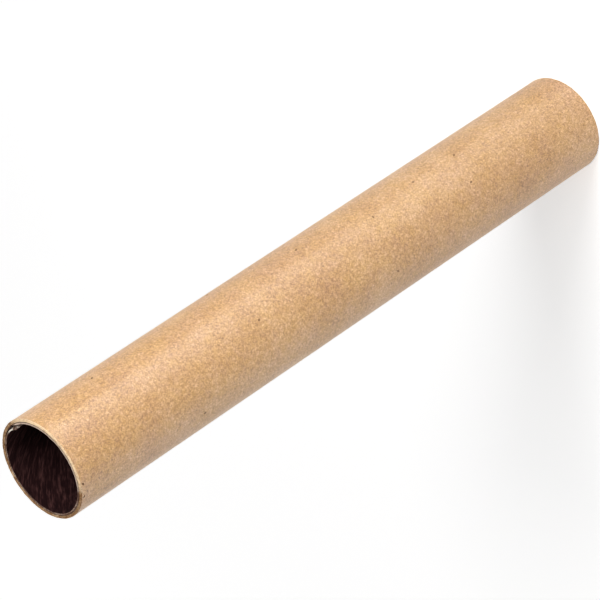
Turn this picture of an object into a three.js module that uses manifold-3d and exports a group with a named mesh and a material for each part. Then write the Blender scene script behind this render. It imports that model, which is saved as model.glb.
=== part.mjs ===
// Cardboard craft tube, standing on one of its two square-cut ends, open at both
import * as THREE from 'three';
import { mergeVertices } from 'three/addons/utils/BufferGeometryUtils.js';
import Module from 'manifold-3d';

const wasm = await Module();
wasm.setup();

// Driving sizes, in millimetres
const LENGTH = 305; // between the two square-cut ends
const BORE = 38; // inner diameter, that of the mandrel the tube is wound on
const LINER = 0.65; // innermost turn of board
const GLUE_LINE = 0.25; // open line between the liner and the turns around it
const GLUE_LINE_DEPTH = 0.9; // how far that line is open behind each cut end
const BODY_WALL = 1.4; // outer turns of kraft board, glued into one

// The liner is a strip wound on the slant, and its edge stands as a step in the bore
const WINDING_ANGLE = 47; // degrees between the liner's edge and the axis
const LAP_AT_MOUTH = 50; // degrees from +X towards +Y, where that edge meets the upper mouth
const LAP_RAMP = 2.8; // width over which the next turn climbs on to the edge

// The liner's corner has come unglued at the upper mouth and is sprung inwards
const PEEL_DEPTH = 15; // how far down the bore it is loose
const PEEL_WIDTH = 7; // width round the bore over which it is loose
const PEEL_LIFT = 1.6; // how far its tip stands off its seat
const PEEL_THICKNESS = 0.5; // torn from its glue, it is thinner than the liner
const PEEL_SETBACK = 0.4; // its tip lies this far below the cut end
const SEAT_SLACK = 0.4; // its seat ends this far short of where it is still glued

// Faces round the circle and along the slanted edge
const FACETS = 96;
const LAP_STEP = 5; // degrees of turn between two sections of the step
const PEEL_STEPS = 8;

const OVERCUT = 1; // how far a cut runs on past the end of the tube
const WELD = 1e-4; // corners closer than this are one

const KRAFT = 0xc9a377;

// Sizes that follow
const BORE_R = BORE / 2;
const GLUE_R = BORE_R + LINER;
const BODY_R = GLUE_R + GLUE_LINE;
const OUTER_R = BODY_R + BODY_WALL;
const LAP_FLOOR_R = GLUE_R + GLUE_LINE / 2;
const FEATHER = LINER / 10; // thickness at which a sloping surface of the liner runs out
const PITCH = (Math.PI * BORE) / Math.tan(THREE.MathUtils.degToRad(WINDING_ANGLE));

// A point at height z, at angle a from +X towards +Y, on radius r
function onCircle(z, a, r) {
  return new THREE.Vector3(r * Math.cos(a), r * Math.sin(a), z);
}

// Angle of the liner's edge at height z: it turns back towards +X as it goes down
function lapAngle(z) {
  return THREE.MathUtils.degToRad(LAP_AT_MOUTH) - (2 * Math.PI * (LENGTH - z)) / PITCH;
}

function toSolid(geometry) {
  const bare = geometry.clone();
  bare.deleteAttribute('normal');
  bare.deleteAttribute('uv');
  const merged = mergeVertices(bare, WELD);
  const mesh = new wasm.Mesh({
    numProp: 3,
    vertProperties: new Float32Array(merged.attributes.position.array),
    triVerts: new Uint32Array(merged.index.array),
  });
  return new wasm.Manifold(mesh);
}

function toGeometry(solid) {
  const mesh = solid.getMesh();
  const geometry = new THREE.BufferGeometry();
  geometry.setAttribute('position', new THREE.BufferAttribute(mesh.vertProperties, 3));
  geometry.setIndex(new THREE.BufferAttribute(mesh.triVerts, 1));
  geometry.computeVertexNormals();
  return geometry;
}

// Closed solid through level sections, from the lowest up, all with the same number of points
function loft(rows) {
  const ends = rows[0].map((p) => new THREE.Vector2(p.x, p.y));
  const turned = THREE.ShapeUtils.isClockWise(ends);
  const sections = turned ? rows.map((row) => row.toReversed()) : rows;
  const count = sections[0].length;
  const points = sections.flat();
  const faces = [];
  for (let i = 0; i + 1 < sections.length; i += 1) {
    for (let j = 0; j < count; j += 1) {
      const a = i * count + j;
      const b = i * count + ((j + 1) % count);
      faces.push(a, b, b + count);
      faces.push(a, b + count, a + count);
    }
  }
  const flat = sections[0].map((p) => new THREE.Vector2(p.x, p.y));
  const last = (sections.length - 1) * count;
  for (const [a, b, c] of THREE.ShapeUtils.triangulateShape(flat, [])) {
    faces.push(a, c, b);
    faces.push(last + a, last + b, last + c);
  }
  const geometry = new THREE.BufferGeometry().setFromPoints(points);
  geometry.setIndex(faces);
  return geometry;
}

// The wall is turned from its section, with the open glue line cut into both ends
function wall() {
  const low = GLUE_LINE_DEPTH;
  const high = LENGTH - GLUE_LINE_DEPTH;
  const section = [
    [OUTER_R, 0],
    [OUTER_R, LENGTH],
    [BODY_R, LENGTH],
    [BODY_R, high],
    [GLUE_R, high],
    [GLUE_R, LENGTH],
    [BORE_R, LENGTH],
    [BORE_R, 0],
    [GLUE_R, 0],
    [GLUE_R, low],
    [BODY_R, low],
    [BODY_R, 0],
    [OUTER_R, 0],
  ];
  const profile = section.map(([r, z]) => new THREE.Vector2(r, z));
  const geometry = new THREE.LatheGeometry(profile, FACETS);
  geometry.rotateX(Math.PI / 2);
  return toSolid(geometry);
}

// Wedge-shaped space beside the liner's edge, all the way along the bore
function lapSpace() {
  const travel = LENGTH + 2 * OVERCUT;
  const steps = Math.ceil((360 * travel) / PITCH / LAP_STEP);
  const ramp = LAP_RAMP / BORE_R;
  const sections = [];
  for (let i = 0; i <= steps; i += 1) {
    const z = -OVERCUT + (travel * i) / steps;
    const a = lapAngle(z);
    sections.push([
      onCircle(z, a, BORE_R - LINER),
      onCircle(z, a - ramp, BORE_R - FEATHER),
      onCircle(z, a, LAP_FLOOR_R),
    ]);
  }
  return toSolid(loft(sections));
}

// Level section of a strip of liner, from angle a to b, with its two radii at each angle
function stripSection(z, a, b, radii) {
  const inside = [];
  const outside = [];
  for (let j = 0; j <= PEEL_STEPS; j += 1) {
    const t = j / PEEL_STEPS;
    const angle = a + (b - a) * t;
    const [low, high] = radii(t);
    inside.push(onCircle(z, angle, low));
    outside.unshift(onCircle(z, angle, high));
  }
  return [...inside, ...outside];
}

// Space that the loose corner has left in the wall
function peelSeat() {
  const from = LENGTH - PEEL_DEPTH + SEAT_SLACK;
  const to = LENGTH + OVERCUT;
  const sections = [];
  for (let i = 0; i <= PEEL_STEPS; i += 1) {
    const z = from + ((to - from) * i) / PEEL_STEPS;
    const start = lapAngle(z) - SEAT_SLACK / BORE_R;
    const end = lapAngle(z) + (PEEL_WIDTH - SEAT_SLACK) / BORE_R;
    sections.push(stripSection(z, start, end, () => [BORE_R - LINER, LAP_FLOOR_R]));
  }
  return toSolid(loft(sections));
}

// The loose corner, which stands furthest off its seat at the mouth and along the liner's edge
function peelFlap() {
  const from = LENGTH - PEEL_DEPTH - LINER;
  const to = LENGTH - PEEL_SETBACK;
  const sections = [];
  for (let i = 0; i <= PEEL_STEPS; i += 1) {
    const rise = i / PEEL_STEPS;
    const z = from + (to - from) * rise;
    const end = lapAngle(z) + (PEEL_WIDTH + LINER) / BORE_R;
    const radii = (t) => {
      const low = BORE_R + FEATHER - PEEL_LIFT * rise ** 2 * (1 - t) ** 2;
      return [low, low + PEEL_THICKNESS];
    };
    sections.push(stripSection(z, lapAngle(z), end, radii));
  }
  return toSolid(loft(sections));
}

function tube() {
  const wound = wall().subtract(lapSpace()).subtract(peelSeat()).add(peelFlap());
  const material = new THREE.MeshStandardMaterial({ color: KRAFT, roughness: 0.85, metalness: 0 });
  const mesh = new THREE.Mesh(toGeometry(wound), material);
  mesh.name = 'tube';
  return mesh;
}

const craftTube = new THREE.Group();
craftTube.add(tube());

export default craftTube;
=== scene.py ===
"""Cardboard craft tube: the looks of its wound wall, its cut ends and its bore."""

import math
import random

import bpy
from mathutils import Matrix, Vector, noise


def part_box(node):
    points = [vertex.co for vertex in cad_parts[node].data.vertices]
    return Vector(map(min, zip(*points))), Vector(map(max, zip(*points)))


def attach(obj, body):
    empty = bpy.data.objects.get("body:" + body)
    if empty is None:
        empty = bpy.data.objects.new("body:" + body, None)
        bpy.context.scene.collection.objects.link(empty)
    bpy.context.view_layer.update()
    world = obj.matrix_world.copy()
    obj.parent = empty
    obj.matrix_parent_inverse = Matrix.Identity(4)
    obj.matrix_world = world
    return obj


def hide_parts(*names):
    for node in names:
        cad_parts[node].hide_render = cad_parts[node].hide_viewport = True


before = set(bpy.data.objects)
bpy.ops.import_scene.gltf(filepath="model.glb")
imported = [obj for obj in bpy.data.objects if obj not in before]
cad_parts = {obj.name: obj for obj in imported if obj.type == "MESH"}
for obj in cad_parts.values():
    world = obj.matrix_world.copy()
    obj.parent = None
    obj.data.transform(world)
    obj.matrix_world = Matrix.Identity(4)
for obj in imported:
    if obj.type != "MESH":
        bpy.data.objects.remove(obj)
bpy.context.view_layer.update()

MM = 0.001

# Sizes of the tube, read from the frame where it gives them
low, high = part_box("tube")
LENGTH = high[2] - low[2]
DIAMETER = high[0] - low[0]
OUTER_R = DIAMETER / 2
BORE_R = 19.0 * MM
LINER = 0.65 * MM
GLUE_LINE = 0.25 * MM
GLUE_R = BORE_R + LINER
BODY_R = GLUE_R + GLUE_LINE

# The liner is a strip wound on the slant, whose edge stands as a step in the bore
WINDING_ANGLE = math.radians(47)
LAP_AT_MOUTH = math.radians(50)
LAP_RAMP = 2.8 * MM
PITCH = 2 * math.pi * BORE_R / math.tan(WINDING_ANGLE)

# Its corner is loose at the upper mouth
PEEL_DEPTH = 15 * MM
PEEL_WIDTH = 7 * MM
PEEL_LIFT = 1.6 * MM
PEEL_THICKNESS = 0.5 * MM
PEEL_SETBACK = 0.4 * MM

# The photograph looks down on the tube with its picture turned, so that the tube runs across it
PHOTO_PX = 600
FOCAL_PX = 3472
CAMERA_AZIMUTH = math.radians(48.99)
CAMERA_ELEVATION = math.radians(35.51)
CAMERA_ROLL = math.radians(123.74)
CAMERA_DISTANCE = 32.32 * DIAMETER
AIM = Vector((-0.038 * DIAMETER, 0, LENGTH / 2 + 0.239 * DIAMETER))
SENSOR = 36.0  # millimetres

# Dark shives on the outside, each by its pixel in the photograph
SHIVE_PIXELS = (
    (92, 378), (205, 413), (259, 320), (296, 250), (373, 217), (398, 271),
    (454, 155), (413, 182), (471, 182), (207, 295), (80, 486), (79, 500),
)

# Plain studio light: a softbox on one side, a low and a high lamp with it, and two weak ones, one
# on the other side and one behind
SOFTBOX = {"place": Vector((0.88, -0.26, 0.60)), "size": 0.75, "power": 4.3}
LOW_LAMP = {"place": Vector((0.98, 0.12, 0.10)), "size": 0.42, "power": 3.2}
FILL = {"place": Vector((-0.60, -0.88, 0.38)), "size": 0.8, "power": 2.7}
BACK_FILL = {"place": Vector((-0.95, 0.50, 0.38)), "size": 0.8, "power": 2.6}
HIGH_LAMP = {"place": Vector((0.62, 0.02, 1.10)), "size": 0.35, "power": 5.2}
SKY_STRENGTH = 0.13
FLOOR_LIFT = 0.5  # how much the floor glows on rays that see it directly
FLOOR_LIFT_FAR = 0.9  # and past the reach of the lamps
LIT_FLOOR = 0.6  # metres from the tube over which the lamps light the floor
WHITE_FLOOR = 2.2  # metres from the tube where it has gone over into the backdrop
FLOOR_REACH = 6.0  # metres, half the floor's width


def linear(code):
    """An sRGB hex colour as the linear colour that a shader takes."""
    parts = [int(code[i : i + 2], 16) / 255 for i in (1, 3, 5)]
    lin = [c / 12.92 if c <= 0.04045 else ((c + 0.055) / 1.055) ** 2.4 for c in parts]
    return (*lin, 1.0)


def on_circle(z, angle, radius):
    """A point at height z, at an angle from +X towards +Y, as the frame has it."""
    return (radius * math.cos(angle), radius * math.sin(angle), z)


def lap_angle(z):
    """Where the liner's edge is at height z: it turns back towards +X as it goes down."""
    return LAP_AT_MOUTH - 2 * math.pi * (LENGTH - z) / PITCH


def wobble(angle, z, scale, seed):
    """Smooth noise from -1 to 1 that closes on itself round the tube; scale is its size in metres."""
    r = OUTER_R / scale
    return noise.noise((r * math.sin(angle), r * math.cos(angle), z / scale + 31.7 * seed))


SHARP_EDGE = math.radians(35)


def add_object(name, points, faces, materials, slots=None):
    """A mesh with smooth shading that breaks at sharp edges."""
    mesh = bpy.data.meshes.new(name)
    mesh.from_pydata(points, [], faces)
    for material in materials:
        mesh.materials.append(material)
    if slots is not None:
        mesh.polygons.foreach_set("material_index", slots)
    mesh.polygons.foreach_set("use_smooth", [True] * len(mesh.polygons))
    mesh.set_sharp_from_angle(angle=SHARP_EDGE)
    mesh.update()
    piece = bpy.data.objects.new(name, mesh)
    bpy.context.collection.objects.link(piece)
    return piece


def ring_faces(rings, count):
    """Faces of a closed ring-shaped skin: each ring joins the next, and the last joins the first."""
    faces = []
    for i in range(rings):
        here = i * count
        there = ((i + 1) % rings) * count
        for j in range(count):
            k = (j + 1) % count
            faces.append((here + j, here + k, there + k, there + j))
    return faces


# Shaders


def add_node(tree, kind, inputs=None, stops=(), **settings):
    """Adds a node, with its settings, its inputs as values or as outputs to link, and colour stops."""
    node = tree.nodes.new(kind)
    for key, value in settings.items():
        setattr(node, key, value)
    for key, value in (inputs or {}).items():
        if isinstance(value, bpy.types.NodeSocket):
            tree.links.new(value, node.inputs[key])
        else:
            node.inputs[key].default_value = value
    for k, (position, code) in enumerate(stops):
        elements = node.color_ramp.elements
        element = elements[k] if k < len(elements) else elements.new(position)
        element.position = position
        element.color = linear(code)
    return node


def new_material(name):
    material = bpy.data.materials.new(name)
    material.use_nodes = True
    tree = material.node_tree
    tree.nodes.clear()
    return material, tree


def felt(tree, place, layers):
    """Felted fibres as a value round 0.5: layers of noise, each with its size, detail and weight."""
    total = 0.5 - 0.5 * sum(weight for _, _, weight in layers)
    for size, detail, weight in layers:
        inputs = {"Vector": place, "Scale": 1 / size, "Detail": detail, "Roughness": 0.6}
        layer = add_node(tree, "ShaderNodeTexNoise", inputs).outputs["Fac"]
        added = {0: layer, 1: weight, 2: total}
        total = add_node(tree, "ShaderNodeMath", added, operation="MULTIPLY_ADD").outputs[0]
    return total


def finish_board(tree, colour, relief, depth, roughness, gloss):
    """The shader of a board whose relief is its own felt, depth deep."""
    relief = {"Height": relief, "Strength": 0.5, "Distance": depth}
    relief = add_node(tree, "ShaderNodeBump", relief).outputs["Normal"]
    inputs = {"Base Color": colour, "Roughness": roughness, "Normal": relief}
    inputs.update({"IOR": 1.5, "Specular IOR Level": gloss})
    shader = add_node(tree, "ShaderNodeBsdfPrincipled", inputs)
    add_node(tree, "ShaderNodeOutputMaterial", {"Surface": shader.outputs["BSDF"]})
    return shader


def kraft_board():
    """Unbleached kraft board, machine-made: long fibres felted at random, so the eye sees a fine
    grain from straw to rose brown, faint clouds where the felt is thicker, a few dark shives of
    bark, and the dull sheen that calender rolls press into the skin."""
    material, tree = new_material("kraft_board")
    place = add_node(tree, "ShaderNodeTexCoord").outputs["Object"]
    # Fibres are 0.03 mm thick, too fine to show, so their grain is drawn as flocs of 0.5 mm
    flocs = [(0.5 * MM, 2.0, 1.45), (1.1 * MM, 2.0, 1.0)]
    clouds = [(9 * MM, 3.0, 0.35), (40 * MM, 1.0, 0.4)]
    grain = felt(tree, place, flocs + clouds)
    straw = [(0.03, "#8e5e28"), (0.42, "#c49250"), (0.58, "#d1a162"), (0.97, "#f5ce94")]
    rose = [(0.03, "#926338"), (0.42, "#c49364"), (0.58, "#d1a373"), (0.97, "#f5d1a6")]
    straw = add_node(tree, "ShaderNodeValToRGB", {"Fac": grain}, straw).outputs["Color"]
    rose = add_node(tree, "ShaderNodeValToRGB", {"Fac": grain}, rose).outputs["Color"]
    hue = felt(tree, place, [(2.5 * MM, 2.0, 2.0), (14 * MM, 2.0, 1.6)])
    skin = add_node(tree, "ShaderNodeMix", {0: hue, 6: straw, 7: rose}, data_type="RGBA").outputs[2]
    # Fewer than half of the cells of 5 mm hold a small shive, up to 0.3 mm in radius, and the skin
    # cuts through about one in 15 square centimetres
    shives = add_node(tree, "ShaderNodeTexVoronoi", {"Vector": place, "Scale": 1 / (5 * MM)}).outputs
    size = {"Value": shives["Color"], "From Min": 0.55, "To Max": 0.06}
    size = add_node(tree, "ShaderNodeMapRange", size).outputs[0]
    fleck = add_node(tree, "ShaderNodeMath", {0: size, 1: shives["Distance"]}, operation="GREATER_THAN")
    # They lie in the skin, so about half of their colour comes through
    faint = {0: fleck.outputs[0], 1: 0.55}
    share = add_node(tree, "ShaderNodeMath", faint, operation="MULTIPLY").outputs[0]
    flecked = {0: share, 6: skin, 7: linear("#855a34")}
    colour = add_node(tree, "ShaderNodeMix", flecked, data_type="RGBA").outputs[2]
    shader = finish_board(tree, colour, grain, 0.05 * MM, 0.45, 1.0)
    # The starch size that the rolls press smooth is a thin dull film over the fibres
    shader.inputs["Coat Weight"].default_value = 0.4
    shader.inputs["Coat Roughness"].default_value = 0.5
    # The winding belt rubs the skin round the tube, so the sheen spreads into a band along it
    shader.inputs["Anisotropic"].default_value = 0.85
    shader.inputs["Anisotropic Rotation"].default_value = 0.25
    shader.inputs["Sheen Weight"].default_value = 0.1
    shader.inputs["Sheen Roughness"].default_value = 0.35
    return material


def cut_board(name, pale, brown, line):
    """The same board where a blade has cut through it: fibre ends stand up matt and pale, browner where
    the blade has pressed them flat, with a thin line of glue between one turn and the next. Along the
    stretch of the cut that faces the lamps it is painted paler, as painted light."""
    material, tree = new_material(name)
    place = add_node(tree, "ShaderNodeTexCoord").outputs["Object"]
    # Bundles of cut fibres are about 0.35 mm across, in patches of 2 mm
    ends = felt(tree, place, [(0.35 * MM, 2.0, 1.3), (2 * MM, 2.0, 0.9)])
    # This attribute holds the fuzz and a painted light: the stretch of the cut that faces the lamps is
    # painted paler
    fuzz_and_painted_light = add_node(tree, "ShaderNodeAttribute", attribute_name="fuzz_and_painted_light").outputs["Fac"]
    paleness_and_painted_light = add_node(tree, "ShaderNodeMath", {0: fuzz_and_painted_light, 1: ends}, operation="ADD").outputs[0]
    stops = [(0.45, brown), (1.0, pale)]
    tone = add_node(tree, "ShaderNodeValToRGB", {"Fac": paleness_and_painted_light}, stops).outputs["Color"]
    flat = {0: place, 1: (1, 1, 0)}
    flat = add_node(tree, "ShaderNodeVectorMath", flat, operation="MULTIPLY").outputs[0]
    radius = add_node(tree, "ShaderNodeVectorMath", {0: flat}, operation="LENGTH").outputs["Value"]
    turns = {"Value": radius, "From Min": BODY_R, "From Max": SKIN_R, "To Max": 2 * math.pi * PLIES}
    turns = add_node(tree, "ShaderNodeMapRange", turns, clamp=False).outputs[0]
    wave = add_node(tree, "ShaderNodeMath", {0: turns}, operation="COSINE").outputs[0]
    # The glue line is narrow, and hidden where the fibre ends stand over it and where the cut is
    # painted pale as painted light
    hidden = add_node(tree, "ShaderNodeMath", {0: wave, 1: paleness_and_painted_light}, operation="SUBTRACT").outputs[0]
    glued = {"Value": hidden, "From Min": -0.1, "From Max": 0.5}
    glued = add_node(tree, "ShaderNodeMapRange", glued).outputs[0]
    lined = {0: glued, 6: tone, 7: linear(line)}
    colour = add_node(tree, "ShaderNodeMix", lined, data_type="RGBA").outputs[2]
    finish_board(tree, colour, ends, 0.15 * MM, 0.9, 0.3)
    return material


def dark_liner_with_painted_shade():
    """The liner's face: rough unsized board, dark brown and darkened further towards black as painted
    shade of the deep bore, whose fibres run along the strip, so the eye sees faint slanted streaks and
    hardly any shine."""
    material, tree = new_material("dark_liner_with_painted_shade")
    strip = add_node(tree, "ShaderNodeUVMap", uv_map="strip").outputs["UV"]
    # A streak is about 8 times as long as it is wide
    stretched = {"Vector": strip, "Scale": (1, 1 / 8, 1)}
    stretched = add_node(tree, "ShaderNodeMapping", stretched).outputs["Vector"]
    fibres = felt(tree, stretched, [(1.4 * MM, 3.0, 0.8), (0.5 * MM, 2.0, 0.7)])
    # These colours run darker than the board's own brown: painted shade of the deep bore
    stops = [(0.15, "#0e0708"), (0.5, "#2c1819"), (0.9, "#6e4946")]
    colour = add_node(tree, "ShaderNodeValToRGB", {"Fac": fibres}, stops).outputs["Color"]
    finish_board(tree, colour, fibres, 0.08 * MM, 1.0, 0.05)
    return material


def dried_glue():
    """Dextrin glue, wiped on wet and dried between the turns: brown, uneven, a little glossy."""
    material, tree = new_material("dried_glue")
    place = add_node(tree, "ShaderNodeTexCoord").outputs["Object"]
    lumps = felt(tree, place, [(0.8 * MM, 3.0, 1.5)])
    stops = [(0.25, "#2e1b12"), (0.75, "#6b4a33")]
    colour = add_node(tree, "ShaderNodeValToRGB", {"Fac": lumps}, stops).outputs["Color"]
    finish_board(tree, colour, lumps, 0.1 * MM, 0.5, 0.5)
    return material


def bark():
    """Bark, left in the pulp as dark shives: dull, brown and fibrous."""
    material, tree = new_material("bark")
    place = add_node(tree, "ShaderNodeTexCoord").outputs["Object"]
    # Its fibres, 0.15 mm across, are finer than a pixel and only show from close by
    grain = felt(tree, place, [(0.15 * MM, 2.0, 1.5)])
    stops = [(0.25, "#4a2f1a"), (0.75, "#7a5431")]
    colour = add_node(tree, "ShaderNodeValToRGB", {"Fac": grain}, stops).outputs["Color"]
    finish_board(tree, colour, grain, 0.02 * MM, 0.8, 0.4)
    return material


# Pieces of the tube

ROUND = 480  # columns round the outer turns
LENGTHWISE = 80  # rows along them
SKIN_R = OUTER_R - 0.09 * MM  # the skin is wavy and stays inside the outer radius
SKIN_WAVE = 0.025 * MM
SKIN_WAVE_SIZE = 12 * MM
SKIN_INSET = 0.4 * MM  # the skin ends this far short of each cut

# The cut face of the outer turns, with the edges of their plies as low ridges
PLIES = 3
STEPS_A_PLY = 4
OUTER_CORNER = ((0.02 * MM, 0.16 * MM), (0.10 * MM, 0.05 * MM))  # in from the skin, behind the cut
FIRST_PLY = 0.2 * MM  # in from the skin
LAST_PLY = 0.05 * MM  # out from the glue line
PLY_BEHIND = 0.03 * MM
PLY_GROOVE = 0.16 * MM
INNER_BEHIND = 0.10 * MM

# Its fibres are torn back and bent by a blunt blade: how far, and over what width
FIBRE_TORN = 0.10 * MM
FIBRE_TORN_SIZE = 0.9 * MM
FIBRE_BENT = 0.09 * MM
FIBRE_BENT_SIZE = 1.6 * MM
GROOVE_SIZE = 4 * MM
TORN_SPREAD = 9  # the noise changes this many times faster across the wall than round it
BENT_SPREAD = 5

# Where the cut face is pale: painted light along the stretch that faces the lamps, and patchy fuzz all
# round
PAINTED_LIGHT_FROM = math.radians(-75)
PAINTED_LIGHT_TO = math.radians(35)
PAINTED_LIGHT_FADE = math.radians(18)
FUZZ_LEAST = 0.05
PAINTED_LIGHT_PALENESS = 0.45
FUZZ_PATCHY = 0.18
FUZZ_PATCH_SIZE = 5 * MM


def cut_edge():
    """The cut face of the outer turns, from its outer corner in: radius, and depth behind the cut."""
    rows = [(SKIN_R - inwards, behind) for inwards, behind in OUTER_CORNER]
    steps = PLIES * STEPS_A_PLY
    for k in range(steps):
        share = (k + 0.5) / steps
        radius = SKIN_R - FIRST_PLY - share * (SKIN_R - FIRST_PLY - LAST_PLY - BODY_R)
        groove = PLY_GROOVE * (1 + math.cos(2 * math.pi * share * PLIES)) / 2
        rows.append((radius, PLY_BEHIND + groove))
    rows.append((BODY_R, INNER_BEHIND))
    return rows


def fuzz_and_painted_light_at(angle):
    """How pale the cut edge is: palest along the stretch that faces the lamps, which is painted light,
    and patchy all round with fuzz.
    """
    middle = (PAINTED_LIGHT_FROM + PAINTED_LIGHT_TO) / 2
    away = abs(math.remainder(angle - middle, 2 * math.pi)) - (PAINTED_LIGHT_TO - PAINTED_LIGHT_FROM) / 2
    patchy = FUZZ_PATCHY * wobble(angle, 0, FUZZ_PATCH_SIZE, 21)
    return FUZZ_LEAST + PAINTED_LIGHT_PALENESS * min(1.0, max(0.0, 1 - away / PAINTED_LIGHT_FADE)) + patchy


def mark_fuzz_and_painted_light(piece):
    """Writes that paleness into the mesh, for the cut board's shader."""
    layer = piece.data.attributes.new("fuzz_and_painted_light", "FLOAT", "POINT")
    layer.data.foreach_set("value", [fuzz_and_painted_light_at(math.atan2(v.co.y, v.co.x)) for v in piece.data.vertices])


def outer_turns(kraft, cut, glue):
    """The glued outer turns: the outside, both cut faces and the side that meets the liner."""
    angles = [2 * math.pi * j / ROUND for j in range(ROUND)]
    points = []

    def add_cut_ring(radius, behind, seed, place):
        for a in angles:
            torn = FIBRE_TORN * (1 + wobble(a, radius * TORN_SPREAD, FIBRE_TORN_SIZE, seed))
            bent = FIBRE_BENT * wobble(a, radius * BENT_SPREAD, FIBRE_BENT_SIZE, seed)
            parted = behind * (1 + wobble(a, radius, GROOVE_SIZE, seed))
            points.append(on_circle(place(parted + torn), a, min(radius + bent, OUTER_R)))

    edge = cut_edge()
    for radius, behind in reversed(edge):
        add_cut_ring(radius, behind, 2, lambda depth: depth)
    for i in range(LENGTHWISE + 1):
        z = SKIN_INSET + (LENGTH - 2 * SKIN_INSET) * i / LENGTHWISE
        for a in angles:
            points.append(on_circle(z, a, SKIN_R + SKIN_WAVE * wobble(a, z, SKIN_WAVE_SIZE, 1)))
    for radius, behind in edge:
        add_cut_ring(radius, behind, 4, lambda depth: LENGTH - depth)
    rings = len(points) // ROUND
    slots = []
    for i in range(rings):
        outside = len(edge) <= i < len(edge) + LENGTHWISE
        slots.extend([0 if outside else 1] * ROUND)
    # The last ring of faces is the side that meets the liner, brown with glue
    slots[-ROUND:] = [2] * ROUND
    piece = add_object("outer_turns", points, ring_faces(rings, ROUND), [kraft, cut, glue], slots)
    mark_fuzz_and_painted_light(piece)
    return piece


LINER_ROUND = 240  # columns round the liner
LINER_ROWS = 160  # rows along its face
BACK_ROWS = 80  # rows along its back
LINER_STEP = LINER - 0.05 * MM  # how high its edge stands
LINER_INSET = 0.08 * MM  # it ends this far short of each cut, and further where fibres are torn back
LINER_TORN = 0.11 * MM
LINER_TORN_SIZE = 1.1 * MM
LINER_UNEVEN = 1.2


def strip_place(z, turn):
    """Where a point lies on the liner's strip, in metres across it and along it."""
    return (turn * BORE_R * math.cos(WINDING_ANGLE), z / math.cos(WINDING_ANGLE))


def mark_strip(piece, places):
    """Writes each corner's place on the strip into the mesh, for the liner's shader."""
    layer = piece.data.uv_layers.new(name="strip")
    for loop in piece.data.loops:
        layer.uv[loop.index].vector = places[loop.vertex_index]


def torn_back(angle):
    """How far the fibres of the liner's cut ends are torn back at an angle."""
    return LINER_TORN * (1 + LINER_UNEVEN * wobble(angle, 0, LINER_TORN_SIZE, 17))


def liner(inside, cut, glue):
    """The innermost turn: a strip wound on the slant, with its edge standing as a step."""
    ramp = LAP_RAMP / BORE_R
    columns = []
    for j in range(LINER_ROUND):
        turn = 2 * math.pi * j / LINER_ROUND
        climb = max(0.0, 1 - (2 * math.pi - turn) / ramp)
        columns.append((turn, LINER_STEP * climb))
    columns.append((2 * math.pi, LINER_STEP))
    count = len(columns)
    points = []
    strip = []
    for i in range(BACK_ROWS + 1):
        z = LINER_INSET + (LENGTH - 2 * LINER_INSET) * i / BACK_ROWS
        inwards = {0: 1, BACK_ROWS: -1}.get(i, 0)
        for turn, _ in columns:
            angle = lap_angle(z) + turn
            points.append(on_circle(z + inwards * torn_back(angle), angle, GLUE_R))
            strip.append(strip_place(z, turn))
    for i in range(LINER_ROWS + 1):
        z = LENGTH - LINER_INSET - (LENGTH - 2 * LINER_INSET) * i / LINER_ROWS
        inwards = {0: -1, LINER_ROWS: 1}.get(i, 0)
        for turn, rise in columns:
            loose = z > LENGTH - PEEL_DEPTH and turn < PEEL_WIDTH / BORE_R
            angle = lap_angle(z) + turn
            radius = BORE_R + (LINER_STEP if loose else rise)
            points.append(on_circle(z + inwards * torn_back(angle), angle, radius))
            strip.append(strip_place(z, turn))
    rings = len(points) // count
    slots = []
    for i in range(rings):
        if i < BACK_ROWS:
            slot = 2
        elif BACK_ROWS < i < rings - 1:
            slot = 0
        else:
            slot = 1
        slots.extend([slot] * count)
    piece = add_object("liner", points, ring_faces(rings, count), [inside, cut, glue], slots)
    mark_fuzz_and_painted_light(piece)
    mark_strip(piece, strip)
    return piece


GLUE_ROUND = 720  # columns round the glue line
GLUE_SHALLOWEST = 0.1 * MM  # the least that the glue stands back from the cut
GLUE_BACK = 0.38 * MM  # how much further back it is, more or less
GLUE_UNEVEN = 1.3
GLUE_LUMP_SIZE = 2 * MM
GLUE_OPEN = 0.75 * MM  # and how much more where the turns have parted
GLUE_FURTHEST = 0.85 * MM  # the most that these two add

# Those stretches: the middle of each and half its width, in degrees from +X towards +Y
OPEN_GLUE = (
    (-160, 14), (-130, 8), (-100, 7), (-78, 4), (-58, 6), (-40, 4),
    (-22, 6), (-4, 4), (14, 5), (52, 6), (110, 12),
)


def glue_depth(angle, seed):
    """How far the glue stands back: about half a millimetre, and more where the turns have parted."""
    further = GLUE_BACK * (1 + GLUE_UNEVEN * wobble(angle, 0, GLUE_LUMP_SIZE, seed))
    for middle, half in OPEN_GLUE:
        away = abs(math.remainder(angle - math.radians(middle), 2 * math.pi))
        further += GLUE_OPEN * max(0.0, 1 - (away / math.radians(half)) ** 2)
    return GLUE_SHALLOWEST + min(further, GLUE_FURTHEST)


def glue_line(glue):
    """Dried glue between liner and outer turns, standing back from the cut by an uneven depth."""
    points = []
    for upper, radius in ((False, BODY_R), (True, BODY_R), (True, GLUE_R), (False, GLUE_R)):
        for j in range(GLUE_ROUND):
            a = 2 * math.pi * j / GLUE_ROUND
            back = glue_depth(a, 11 + upper)
            points.append(on_circle(LENGTH - back if upper else back, a, radius))
    return add_object("glue_line", points, ring_faces(4, GLUE_ROUND), [glue])


CORNER_ROWS = 30  # rows down the loose corner
CORNER_COLUMNS = 20
TORN_REACH = 1.6 * MM  # half the stretch of its edge that is torn to pale fibres
TORN_PALENESS = 1.2


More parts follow.
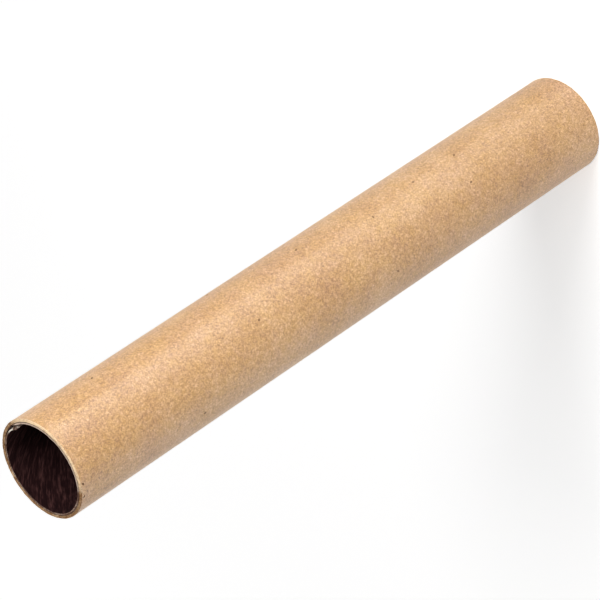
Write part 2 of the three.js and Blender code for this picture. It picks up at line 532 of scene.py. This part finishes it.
def loose_corner(inside, cut):
    """The liner's corner, sprung off its seat at the upper mouth."""
    along = CORNER_ROWS
    across = CORNER_COLUMNS
    start = LENGTH - PEEL_SETBACK
    end = LENGTH - PEEL_DEPTH - LINER
    inner = []
    outer = []
    strip = []
    for i in range(along + 1):
        s = i / along
        for j in range(across + 1):
            t = j / across
            z = start + (end - start) * s
            a = lap_angle(z) + t * (PEEL_WIDTH + LINER) / BORE_R
            radius = BORE_R - PEEL_LIFT * (1 - s) ** 2 * (1 - t) ** 2
            inner.append(on_circle(z, a, radius))
            outer.append(on_circle(z, a, radius + PEEL_THICKNESS))
            strip.append(strip_place(z, a - lap_angle(z)))
    points = inner + outer
    shift = len(inner)
    faces = []
    slots = []
    row = across + 1
    for i in range(along):
        for j in range(across):
            a = i * row + j
            faces.append((a, a + 1, a + row + 1, a + row))
            faces.append((a + shift, a + row + shift, a + row + 1 + shift, a + 1 + shift))
            slots.extend([0, 1])
    rim = list(range(row))
    rim += [i * row + across for i in range(1, along + 1)]
    rim += [along * row + j for j in range(across - 1, -1, -1)]
    rim += [i * row for i in range(along - 1, 0, -1)]
    for k, a in enumerate(rim):
        b = rim[(k + 1) % len(rim)]
        faces.append((a, a + shift, b + shift, b))
        slots.append(1)
    piece = add_object("loose_corner", points, faces, [inside, cut], slots)
    torn = Vector(points[across // 2])
    layer = piece.data.attributes.new("fuzz_and_painted_light", "FLOAT", "POINT")
    away = [(v.co - torn).length for v in piece.data.vertices]
    layer.data.foreach_set("value", [TORN_PALENESS if d < TORN_REACH else 0.0 for d in away])
    mark_strip(piece, strip * 2)
    return piece


def camera_axes():
    """The camera's right, up and backward directions."""
    level = Vector((math.cos(CAMERA_AZIMUTH), math.sin(CAMERA_AZIMUTH), 0))
    outwards = Vector((math.sin(CAMERA_AZIMUTH), -math.cos(CAMERA_AZIMUTH), 0))
    back = math.cos(CAMERA_ELEVATION) * outwards + math.sin(CAMERA_ELEVATION) * Vector((0, 0, 1))
    upright = back.cross(level)
    right = math.cos(CAMERA_ROLL) * level - math.sin(CAMERA_ROLL) * upright
    up = math.cos(CAMERA_ROLL) * upright + math.sin(CAMERA_ROLL) * level
    return right, up, back


def on_outside(pixel):
    """The height and angle on the outside that the photograph shows at a pixel."""
    right, up, back = camera_axes()
    eye = AIM + back * CAMERA_DISTANCE
    across = (pixel[0] - PHOTO_PX / 2) / FOCAL_PX
    down = (pixel[1] - PHOTO_PX / 2) / FOCAL_PX
    ray = across * right - down * up - back
    a = ray.x**2 + ray.y**2
    b = eye.x * ray.x + eye.y * ray.y
    c = eye.x**2 + eye.y**2 - SKIN_R**2
    place = eye + ray * (-b - math.sqrt(b * b - a * c)) / a
    return place.z, math.atan2(place.y, place.x)


SHIVE_SIDES = 10
SHIVE_LONG = (0.50, 0.75)  # half lengths, in millimetres
SHIVE_WIDE = (0.36, 0.48)  # half widths
SHIVE_RINGS = ((0.0, 0.08), (0.8, 0.065), (1.0, -0.05))  # share of its size, millimetres over the skin


def shives(bark_material):
    """The larger shives: low lens-shaped chips, pressed almost level with the skin."""
    random.seed(5)
    points = []
    faces = []
    for pixel in SHIVE_PIXELS:
        z, angle = on_outside(pixel)
        long = random.uniform(*SHIVE_LONG) * MM
        wide = random.uniform(*SHIVE_WIDE) * MM
        turned = random.uniform(0, math.pi)
        # One at the very edge of the mouth is seated on the skin below it
        z = min(z, LENGTH - 2 * long)
        first = len(points)
        for ring, height in SHIVE_RINGS:
            for k in range(SHIVE_SIDES if ring else 1):
                t = 2 * math.pi * k / SHIVE_SIDES
                u = ring * long * math.cos(t)
                v = ring * wide * math.sin(t)
                along = u * math.cos(turned) - v * math.sin(turned)
                sideways = u * math.sin(turned) + v * math.cos(turned)
                points.append(on_circle(z + along, angle + sideways / SKIN_R, SKIN_R + height * MM))
        inner = first + 1
        outer = inner + SHIVE_SIDES
        for k in range(SHIVE_SIDES):
            n = (k + 1) % SHIVE_SIDES
            faces.append((first, inner + n, inner + k))
            faces.append((inner + k, inner + n, outer + n, outer + k))
        faces.append([outer + k for k in range(SHIVE_SIDES)])
    return add_object("shives", points, faces, [bark_material])


# Studio


def add_camera():
    data = bpy.data.cameras.new("camera")
    camera = bpy.data.objects.new("camera", data)
    bpy.context.collection.objects.link(camera)
    right, up, back = camera_axes()
    turn = Matrix((right, up, back)).transposed().to_4x4()
    camera.matrix_world = Matrix.Translation(AIM + back * CAMERA_DISTANCE) @ turn
    data.sensor_width = SENSOR
    data.lens = FOCAL_PX / PHOTO_PX * SENSOR
    data.clip_end = 100
    bpy.context.scene.camera = camera


def add_lamp(name, lamp):
    data = bpy.data.lights.new(name, "AREA")
    data.shape = "DISK"
    data.size = lamp["size"]
    data.energy = lamp["power"]
    lit = bpy.data.objects.new(name, data)
    bpy.context.collection.objects.link(lit)
    lit.location = lamp["place"]
    lit.rotation_mode = "QUATERNION"
    to_tube = Vector((0, 0, LENGTH / 2)) - lamp["place"]
    lit.rotation_quaternion = to_tube.to_track_quat("-Z", "Y")


def seen_directly(tree):
    """1 on rays from the camera or sent on by a mirror or glass, 0 on those that gather light."""
    path = add_node(tree, "ShaderNodeLightPath").outputs
    seen = {0: path["Is Camera Ray"], 1: path["Is Glossy Ray"]}
    seen = add_node(tree, "ShaderNodeMath", seen, operation="MAXIMUM").outputs[0]
    shown = {0: seen, 1: path["Is Transmission Ray"]}
    return add_node(tree, "ShaderNodeMath", shown, operation="MAXIMUM").outputs[0]


def add_sky():
    world = bpy.data.worlds.new("studio")
    bpy.context.scene.world = world
    world.use_nodes = True
    tree = world.node_tree
    tree.nodes.clear()
    level = {"Value": seen_directly(tree), "To Min": SKY_STRENGTH, "To Max": 1.0}
    level = add_node(tree, "ShaderNodeMapRange", level).outputs[0]
    light = add_node(tree, "ShaderNodeBackground", {"Color": (1, 1, 1, 1), "Strength": level})
    add_node(tree, "ShaderNodeOutputWorld", {"Surface": light.outputs[0]})


def add_floor():
    """A plain pale floor that the camera sees near white, with the tube's shadow on it."""
    material, tree = new_material("pale_floor")
    matt = add_node(tree, "ShaderNodeBsdfDiffuse", {"Color": linear("#ececec")})
    # Past the reach of the lamps the floor goes over into the white backdrop
    place = add_node(tree, "ShaderNodeTexCoord").outputs["Object"]
    away = add_node(tree, "ShaderNodeVectorMath", {0: place}, operation="LENGTH").outputs["Value"]
    lift = {"Value": away, "From Min": LIT_FLOOR, "From Max": WHITE_FLOOR}
    lift.update({"To Min": FLOOR_LIFT, "To Max": FLOOR_LIFT_FAR})
    lift = add_node(tree, "ShaderNodeMapRange", lift).outputs[0]
    lift = {0: seen_directly(tree), 1: lift}
    lift = add_node(tree, "ShaderNodeMath", lift, operation="MULTIPLY").outputs[0]
    glow = add_node(tree, "ShaderNodeEmission", {"Color": (1, 1, 1, 1), "Strength": lift})
    both = add_node(tree, "ShaderNodeAddShader", {0: matt.outputs[0], 1: glow.outputs[0]})
    add_node(tree, "ShaderNodeOutputMaterial", {"Surface": both.outputs[0]})
    far = FLOOR_REACH
    corners = [(-far, -far, 0), (far, -far, 0), (far, far, 0), (-far, far, 0)]
    add_object("floor", corners, [(0, 1, 2, 3)], [material])


bpy.context.scene.view_settings.view_transform = "Standard"
add_camera()
add_lamp("softbox", SOFTBOX)
add_lamp("low_lamp", LOW_LAMP)
add_lamp("fill", FILL)
add_lamp("back_fill", BACK_FILL)
add_lamp("high_lamp", HIGH_LAMP)
add_sky()
add_floor()

kraft = kraft_board()
cut = cut_board("cut_board", "#ffe4bc", "#a67a4e", "#6a4426")
liner_cut = cut_board("cut_liner", "#e2c8b4", "#6f4e3e", "#4c3020")
torn = cut_board("torn_liner", "#fff4e4", "#6b4b3b", "#4c3020")
inside = dark_liner_with_painted_shade()
glue = dried_glue()

pieces = [
    outer_turns(kraft, cut, glue),
    liner(inside, liner_cut, glue),
    glue_line(glue),
    loose_corner(inside, torn),
    shives(bark()),
]
for piece in pieces:
    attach(piece, "root")
    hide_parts("tube")
